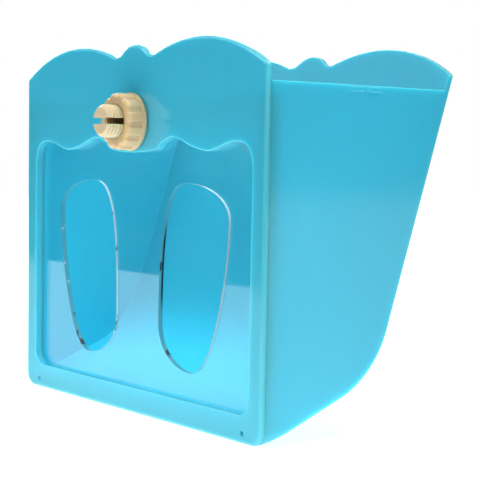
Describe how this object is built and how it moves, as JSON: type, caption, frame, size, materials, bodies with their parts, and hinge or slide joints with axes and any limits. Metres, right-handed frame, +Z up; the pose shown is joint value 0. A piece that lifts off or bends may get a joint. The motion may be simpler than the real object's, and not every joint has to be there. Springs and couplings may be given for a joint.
{
  "type": "hay feeder box",
  "caption": "Open-topped hay hopper for small pets, with a crowned front frame, a clear panel with feed holes and a slotted bolt and nut that clamp it to a cage.",
  "frame": {"origin": "on the clamp bolt's axis, where it meets the plane of the front frame's face", "axes": "+Z up, +X along the width to the right seen from the front, -Y out of the front"},
  "size_m": [0.1758, 0.1091, 0.1483],
  "materials": {
    "cyan_plastic": "glossy moulded plastic, light blue",
    "clear_acrylic": "polished clear acrylic sheet",
    "cream_plastic": "satin moulded plastic, cream"
  },
  "bodies": {
    "feeder_box": {"front_frame": "cyan_plastic", "hopper_shell": "cyan_plastic", "clear_panel": "clear_acrylic"},
    "clamp_bolt": {"clamp_bolt": "cream_plastic"},
    "clamp_nut": {"clamp_nut": "cream_plastic"}
  },
  "joints": [
    {"name": "bolt_turn", "type": "hinge", "parent": "feeder_box", "child": "clamp_bolt", "pos_m": [0, 0, 0], "axis": [0, 1, 0], "range_deg": [0, 1530]},
    {"name": "nut_travel", "type": "slide", "parent": "feeder_box", "child": "clamp_nut", "axis": [0, -1, 0], "range_m": [0, 0.00638]}
  ],
  "couplings": [
    {"joint": "nut_travel", "follows": "bolt_turn", "m_per_rad": 0.00023873}
  ]
}
